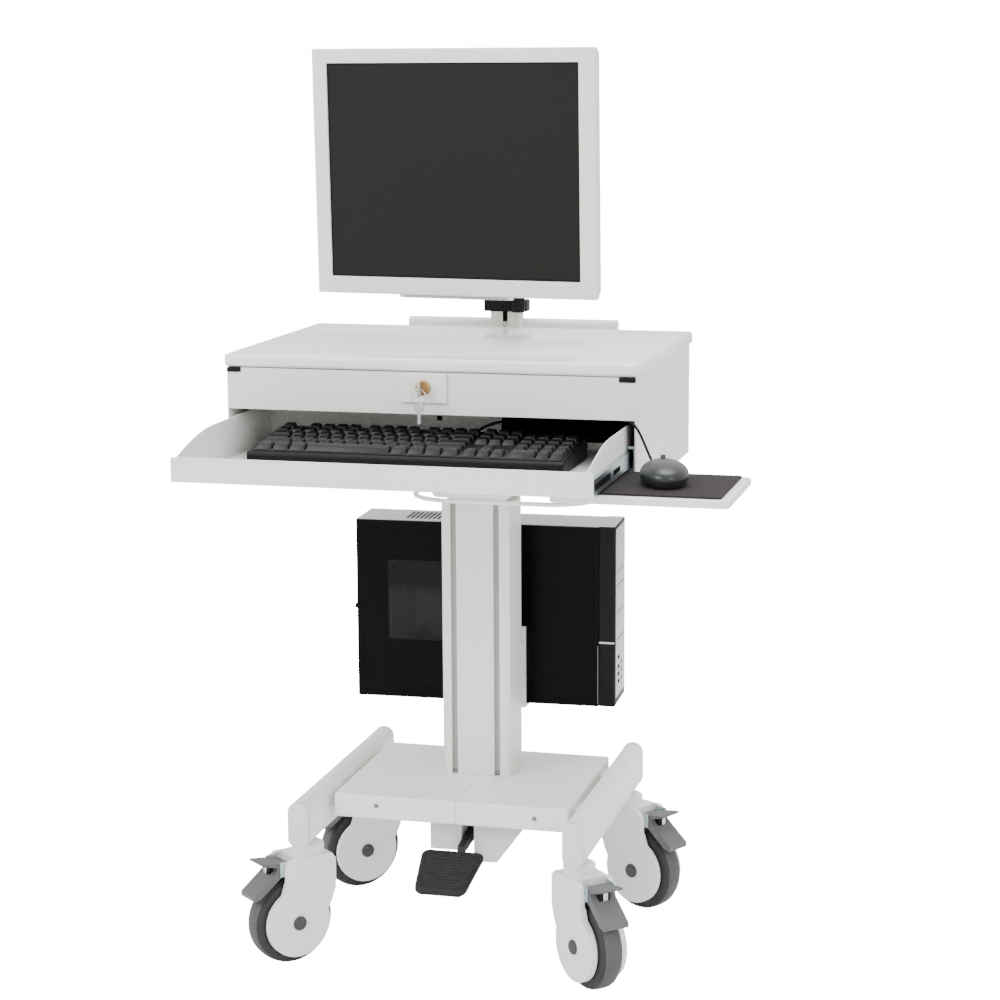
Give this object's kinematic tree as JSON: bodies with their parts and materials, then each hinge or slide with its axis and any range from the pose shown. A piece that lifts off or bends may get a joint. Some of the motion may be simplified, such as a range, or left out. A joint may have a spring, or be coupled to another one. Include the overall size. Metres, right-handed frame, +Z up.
{
  "type": "medication cart",
  "caption": "Wheeled hospital workstation cart: lifting column, lockable storage box, pull-out keyboard drawer, sliding mouse tray, monitor on an arm and a slim computer behind the column.",
  "frame": {"origin": "on the floor, under the middle of the whole cart in plan", "axes": "+Z up; the user stands at -Y and faces +Y; +X to the user's right"},
  "size_m": [0.718, 0.6756, 1.2413],
  "materials": {
    "white_paint": "semi-gloss powder coat",
    "white_gloss": "glossy laminate board",
    "white_plastic": "satin",
    "grey_plastic": "satin",
    "black_plastic": "satin",
    "black_gloss": "glossy",
    "tyre_grey": "matt",
    "mat_black": "woven top",
    "anodised": "silver lacquer",
    "steel": "plated",
    "zinc": "zinc plated",
    "brass": "worn",
    "screen": "anti-glare panel"
  },
  "bodies": {
    "base": {"base_cover": "white_paint", "side_rail_left": "white_paint", "side_rail_right": "white_paint", "pedal_housing": "grey_plastic", "column_outer": "anodised", "gas_spring_tube": "black_plastic", "pc_case": "steel", "pc_side_panel": "black_gloss", "pc_front_bezel": "black_plastic", "pc_holder": "white_paint"},
    "pedal": {"foot_pedal": "black_plastic"},
    "power_button": {"pc_power_button": "steel"},
    "head": {"column_mast": "anodised", "gas_spring_rod": "steel", "top_bracket": "white_paint", "box_body": "white_paint", "lock_plate": "white_paint", "slide_outer_left": "zinc", "slide_outer_right": "zinc", "mouse_tray_wire": "white_paint", "mouse_body": "grey_plastic", "mouse_lead": "black_plastic", "monitor_post": "anodised", "clamp_collar": "black_plastic", "rear_handle": "white_paint"},
    "lid": {"lid": "white_gloss"},
    "lock": {"lock_cylinder": "brass", "lock_key": "steel"},
    "key_ring": {"key_ring": "steel"},
    "drawer": {"keyboard_tray": "white_paint", "slide_inner_left": "zinc", "slide_inner_right": "zinc", "keyboard_case": "black_plastic", "keyboard_keys": "black_plastic", "keyboard_lead": "black_plastic"},
    "mouse_board": {"mouse_tray": "white_plastic", "mouse_mat": "mat_black"},
    "mouse_wheel": {"mouse_wheel": "mat_black"},
    "clamp_lever": {"clamp_lever": "black_plastic"},
    "monitor_arm": {"monitor_arm": "white_paint"},
    "tilt_head": {"tilt_head": "grey_plastic"},
    "monitor": {"monitor_bezel": "white_plastic", "monitor_screen": "screen", "monitor_back": "white_plastic"},
    "caster_front_left": {"caster_fork_front_left": "white_plastic", "axle_front_left": "grey_plastic"},
    "wheel_front_left": {"wheel_front_left": "tyre_grey"},
    "brake_front_left": {"brake_pedal_front_left": "grey_plastic"},
    "caster_front_right": {"caster_fork_front_right": "white_plastic", "axle_front_right": "grey_plastic"},
    "wheel_front_right": {"wheel_front_right": "tyre_grey"},
    "brake_front_right": {"brake_pedal_front_right": "grey_plastic"},
    "caster_rear_right": {"caster_fork_rear_right": "white_plastic", "axle_rear_right": "grey_plastic"},
    "wheel_rear_right": {"wheel_rear_right": "tyre_grey"},
    "brake_rear_right": {"brake_pedal_rear_right": "grey_plastic"},
    "caster_rear_left": {"caster_fork_rear_left": "white_plastic", "axle_rear_left": "grey_plastic"},
    "wheel_rear_left": {"wheel_rear_left": "tyre_grey"},
    "brake_rear_left": {"brake_pedal_rear_left": "grey_plastic"}
  },
  "joints": [
    {"name": "swivel_front_left", "type": "hinge", "parent": "base", "child": "caster_front_left", "pos_m": [-0.249, -0.1259, 0.17], "axis": [0, 0, 1], "continuous": true},
    {"name": "roll_front_left", "type": "hinge", "parent": "caster_front_left", "child": "wheel_front_left", "pos_m": [-0.26934, -0.1493, 0.061], "axis": [0.7547, -0.6561, 0], "continuous": true},
    {"name": "brake_front_left", "type": "hinge", "parent": "caster_front_left", "child": "brake_front_left", "pos_m": [-0.27524, -0.15609, 0.139], "axis": [0.7547, -0.6561, 0], "range_deg": [0, 6]},
    {"name": "swivel_front_right", "type": "hinge", "parent": "base", "child": "caster_front_right", "pos_m": [0.135, -0.1259, 0.17], "axis": [0, 0, 1], "continuous": true},
    {"name": "roll_front_right", "type": "hinge", "parent": "caster_front_right", "child": "wheel_front_right", "pos_m": [0.15614, -0.14857, 0.061], "axis": [0.7314, 0.682, 0], "continuous": true},
    {"name": "brake_front_right", "type": "hinge", "parent": "caster_front_right", "child": "brake_front_right", "pos_m": [0.16228, -0.15515, 0.139], "axis": [0.7314, 0.682, 0], "range_deg": [0, 6]},
    {"name": "swivel_rear_right", "type": "hinge", "parent": "base", "child": "caster_rear_right", "pos_m": [0.135, 0.1951, 0.17], "axis": [0, 0, 1], "continuous": true},
    {"name": "roll_rear_right", "type": "hinge", "parent": "caster_rear_right", "child": "wheel_rear_right", "pos_m": [0.16224, 0.18031, 0.061], "axis": [0.4772, 0.8788, 0], "continuous": true},
    {"name": "brake_rear_right", "type": "hinge", "parent": "caster_rear_right", "child": "brake_rear_right", "pos_m": [0.17015, 0.17601, 0.139], "axis": [0.4772, 0.8788, 0], "range_deg": [0, 6]},
    {"name": "swivel_rear_left", "type": "hinge", "parent": "base", "child": "caster_rear_left", "pos_m": [-0.249, 0.1951, 0.17], "axis": [0, 0, 1], "continuous": true},
    {"name": "roll_rear_left", "type": "hinge", "parent": "caster_rear_left", "child": "wheel_rear_left", "pos_m": [-0.27149, 0.17376, 0.061], "axis": [0.6884, -0.7254, 0], "continuous": true},
    {"name": "brake_rear_left", "type": "hinge", "parent": "caster_rear_left", "child": "brake_rear_left", "pos_m": [-0.27801, 0.16757, 0.139], "axis": [0.6884, -0.7254, 0], "range_deg": [0, 6]},
    {"name": "pedal_press", "type": "hinge", "parent": "base", "child": "pedal", "pos_m": [-0.0398, 0.0101, 0.166], "axis": [1, 0, 0], "range_deg": [0, 12], "stiffness_Nm_per_rad": 3, "springref_deg": -14.32},
    {"name": "power_button", "type": "slide", "parent": "base", "child": "power_button", "axis": [-0.9992, -0.0396, 0], "range_m": [0, 0.002], "stiffness_N_per_m": 400, "springref_m": -0.002},
    {"name": "column_lift", "type": "slide", "parent": "base", "child": "head", "axis": [0, 0, 1], "range_m": [0, 0.3]},
    {"name": "lid_hinge", "type": "hinge", "parent": "head", "child": "lid", "pos_m": [-0.057, 0.2821, 0.8202], "axis": [-1, 0, 0], "range_deg": [0, 12]},
    {"name": "lock_turn", "type": "hinge", "parent": "head", "child": "lock", "pos_m": [-0.0785, -0.1119, 0.8], "axis": [0, 1, 0], "range_deg": [0, 45]},
    {"name": "key_ring_hang", "type": "hinge", "parent": "lock", "child": "key_ring", "pos_m": [-0.0785, -0.1119, 0.8], "axis": [0, 1, 0], "range_deg": [-45, 0]},
    {"name": "drawer_slide", "type": "slide", "parent": "head", "child": "drawer", "axis": [0, 1, 0], "range_m": [0, 0.222]},
    {"name": "mouse_board_slide", "type": "slide", "parent": "head", "child": "mouse_board", "axis": [1, 0, 0], "range_m": [-0.065, 0]},
    {"name": "mouse_wheel_roll", "type": "hinge", "parent": "head", "child": "mouse_wheel", "pos_m": [0.25371, -0.16967, 0.7196], "axis": [0.9703, 0.2419, 0], "continuous": true},
    {"name": "clamp_lever_turn", "type": "hinge", "parent": "head", "child": "clamp_lever", "pos_m": [-0.0455, 0.2874, 0.867], "axis": [0, 0, 1], "range_deg": [0, 90]},
    {"name": "arm_swing", "type": "hinge", "parent": "head", "child": "monitor_arm", "pos_m": [-0.073, 0.3096, 1.037], "axis": [0, 0, 1], "range_deg": [-40, 40]},
    {"name": "monitor_pan", "type": "hinge", "parent": "monitor_arm", "child": "tilt_head", "pos_m": [-0.09846, 0.20972, 1.037], "axis": [0, 0, 1], "range_deg": [-35, 35]},
    {"name": "monitor_tilt", "type": "hinge", "parent": "tilt_head", "child": "monitor", "pos_m": [-0.09997, 0.1948, 1.0725], "axis": [-0.9949, 0.1005, 0], "range_deg": [-5, 15]}
  ],
  "couplings": [
    {"joint": "key_ring_hang", "follows": "lock_turn", "ratio": -1}
  ]
}
